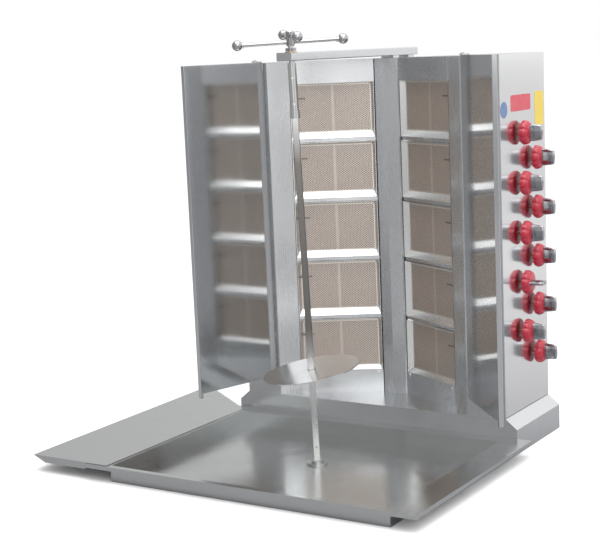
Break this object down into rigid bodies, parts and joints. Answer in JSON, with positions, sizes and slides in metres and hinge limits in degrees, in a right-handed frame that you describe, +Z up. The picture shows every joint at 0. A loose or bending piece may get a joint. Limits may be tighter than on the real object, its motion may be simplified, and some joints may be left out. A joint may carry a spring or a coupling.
{
  "type": "vertical rotisserie broiler",
  "caption": "Hand-turned gas broiler with an upright spit, ceramic infrared burners in a V-shaped bay, swinging side doors, a drip pan, a side tray and a wall of control knobs.",
  "frame": {"origin": "middle of the cabinet's underside, on the surface it stands on", "axes": "+Z up, -Y to the front where the meat turns, +X towards the control knobs"},
  "size_m": [0.9907, 0.832, 0.9538],
  "materials": {
    "brushed_stainless": "brushed",
    "polished_stainless": "polished",
    "pan_stainless": "satin",
    "burner_stainless": "polished",
    "burner_ceramic": "matte",
    "burner_wire": "heat-tinted",
    "sensor_steel": "heat-darkened",
    "pipe_steel": "black",
    "brass": "machined",
    "copper": "drawn copper tube",
    "bronze": "machined bronze",
    "screw_steel": "bright",
    "blank_plates": "satin enamel",
    "handle_chrome": "bright chrome",
    "spit_steel": "drawn bar",
    "plate_steel": "polished",
    "stem_steel": "plated brass",
    "knob_red": "gloss, with a chrome bar grip"
  },
  "bodies": {
    "frame": {"base_plinth": "brushed_stainless", "base_plate": "brushed_stainless", "base_rails": "brushed_stainless", "left_wall": "brushed_stainless", "control_wall": "brushed_stainless", "back_panel": "brushed_stainless", "top_panel": "brushed_stainless", "left_column": "brushed_stainless", "right_column": "brushed_stainless", "centre_post": "brushed_stainless", "bay_fascias": "brushed_stainless", "top_arm": "brushed_stainless", "arm_saddles": "brushed_stainless", "hinge_brackets": "brushed_stainless", "drip_pan": "pan_stainless", "wing_tray": "pan_stainless", "spit_socket": "pan_stainless", "burner_housings_left": "burner_stainless", "burner_housings_right": "burner_stainless", "ceramic_plaques": "burner_ceramic", "burner_meshes": "burner_wire", "thermocouples": "sensor_steel", "gas_manifold": "pipe_steel", "valve_bodies": "brass", "gas_inlet": "brass", "supply_tubes": "copper", "arm_bush": "bronze", "panel_screws": "screw_steel", "label_plates": "blank_plates"},
    "spit": {"handle_hub": "handle_chrome", "handle_bars": "handle_chrome", "handle_balls": "handle_chrome", "thrust_collar": "handle_chrome", "spindle": "spit_steel", "coupling_sleeve": "spit_steel", "cross_pins": "spit_steel", "spit_bar": "spit_steel"},
    "plate": {"meat_plate": "plate_steel"},
    "left_door": {"left_door": "polished_stainless"},
    "right_door": {"right_door": "polished_stainless"},
    "stem_1": {"valve_stem_1": "stem_steel"},
    "knob_1": {"knob_1": "knob_red"},
    "stem_2": {"valve_stem_2": "stem_steel"},
    "knob_2": {"knob_2": "knob_red"},
    "stem_3": {"valve_stem_3": "stem_steel"},
    "knob_3": {"knob_3": "knob_red"},
    "stem_4": {"valve_stem_4": "stem_steel"},
    "knob_4": {"knob_4": "knob_red"},
    "stem_5": {"valve_stem_5": "stem_steel"},
    "knob_5": {"knob_5": "knob_red"},
    "stem_6": {"valve_stem_6": "stem_steel"},
    "knob_6": {"knob_6": "knob_red"},
    "stem_7": {"valve_stem_7": "stem_steel"},
    "knob_7": {"knob_7": "knob_red"},
    "stem_8": {"valve_stem_8": "stem_steel"},
    "knob_8": {"knob_8": "knob_red"},
    "stem_9": {"valve_stem_9": "stem_steel"},
    "knob_9": {"knob_9": "knob_red"},
    "stem_10": {"valve_stem_10": "stem_steel"},
    "knob_10": {"knob_10": "knob_red"}
  },
  "joints": [
    {"name": "spit_spin", "type": "hinge", "parent": "frame", "child": "spit", "pos_m": [0, -0.3695, 0], "axis": [0, -0.0417, 0.9991], "continuous": true},
    {"name": "plate_lift", "type": "slide", "parent": "spit", "child": "plate", "axis": [0, -0.0417, 0.9991], "range_m": [0, 0.53]},
    {"name": "left_door_swing", "type": "hinge", "parent": "frame", "child": "left_door", "pos_m": [-0.27, -0.144, 0.5], "axis": [0, 0, 1], "range_deg": [-74, 101]},
    {"name": "right_door_swing", "type": "hinge", "parent": "frame", "child": "right_door", "pos_m": [0.27, -0.144, 0.5], "axis": [0, 0, -1], "range_deg": [-47.5, 127.5]},
    {"name": "knob_1_turn", "type": "hinge", "parent": "frame", "child": "stem_1", "pos_m": [0.345, -0.018, 0.26], "axis": [1, 0, 0], "range_deg": [0, 180]},
    {"name": "knob_1_push", "type": "slide", "parent": "stem_1", "child": "knob_1", "axis": [-1, 0, 0], "range_m": [0, 0.004], "stiffness_N_per_m": 1500},
    {"name": "knob_2_turn", "type": "hinge", "parent": "frame", "child": "stem_2", "pos_m": [0.345, -0.018, 0.372], "axis": [1, 0, 0], "range_deg": [-90, 90]},
    {"name": "knob_2_push", "type": "slide", "parent": "stem_2", "child": "knob_2", "axis": [-1, 0, 0], "range_m": [0, 0.004], "stiffness_N_per_m": 1500},
    {"name": "knob_3_turn", "type": "hinge", "parent": "frame", "child": "stem_3", "pos_m": [0.345, -0.018, 0.484], "axis": [1, 0, 0], "range_deg": [0, 180]},
    {"name": "knob_3_push", "type": "slide", "parent": "stem_3", "child": "knob_3", "axis": [-1, 0, 0], "range_m": [0, 0.004], "stiffness_N_per_m": 1500},
    {"name": "knob_4_turn", "type": "hinge", "parent": "frame", "child": "stem_4", "pos_m": [0.345, -0.018, 0.596], "axis": [1, 0, 0], "range_deg": [0, 180]},
    {"name": "knob_4_push", "type": "slide", "parent": "stem_4", "child": "knob_4", "axis": [-1, 0, 0], "range_m": [0, 0.004], "stiffness_N_per_m": 1500},
    {"name": "knob_5_turn", "type": "hinge", "parent": "frame", "child": "stem_5", "pos_m": [0.345, -0.018, 0.708], "axis": [1, 0, 0], "range_deg": [0, 180]},
    {"name": "knob_5_push", "type": "slide", "parent": "stem_5", "child": "knob_5", "axis": [-1, 0, 0], "range_m": [0, 0.004], "stiffness_N_per_m": 1500},
    {"name": "knob_6_turn", "type": "hinge", "parent": "frame", "child": "stem_6", "pos_m": [0.345, 0.049, 0.2], "axis": [1, 0, 0], "range_deg": [0, 180]},
    {"name": "knob_6_push", "type": "slide", "parent": "stem_6", "child": "knob_6", "axis": [-1, 0, 0], "range_m": [0, 0.004], "stiffness_N_per_m": 1500},
    {"name": "knob_7_turn", "type": "hinge", "parent": "frame", "child": "stem_7", "pos_m": [0.345, 0.049, 0.312], "axis": [1, 0, 0], "range_deg": [0, 180]},
    {"name": "knob_7_push", "type": "slide", "parent": "stem_7", "child": "knob_7", "axis": [-1, 0, 0], "range_m": [0, 0.004], "stiffness_N_per_m": 1500},
    {"name": "knob_8_turn", "type": "hinge", "parent": "frame", "child": "stem_8", "pos_m": [0.345, 0.049, 0.424], "axis": [1, 0, 0], "range_deg": [0, 180]},
    {"name": "knob_8_push", "type": "slide", "parent": "stem_8", "child": "knob_8", "axis": [-1, 0, 0], "range_m": [0, 0.004], "stiffness_N_per_m": 1500},
    {"name": "knob_9_turn", "type": "hinge", "parent": "frame", "child": "stem_9", "pos_m": [0.345, 0.049, 0.536], "axis": [1, 0, 0], "range_deg": [0, 180]},
    {"name": "knob_9_push", "type": "slide", "parent": "stem_9", "child": "knob_9", "axis": [-1, 0, 0], "range_m": [0, 0.004], "stiffness_N_per_m": 1500},
    {"name": "knob_10_turn", "type": "hinge", "parent": "frame", "child": "stem_10", "pos_m": [0.345, 0.049, 0.648], "axis": [1, 0, 0], "range_deg": [0, 180]},
    {"name": "knob_10_push", "type": "slide", "parent": "stem_10", "child": "knob_10", "axis": [-1, 0, 0], "range_m": [0, 0.004], "stiffness_N_per_m": 1500}
  ]
}
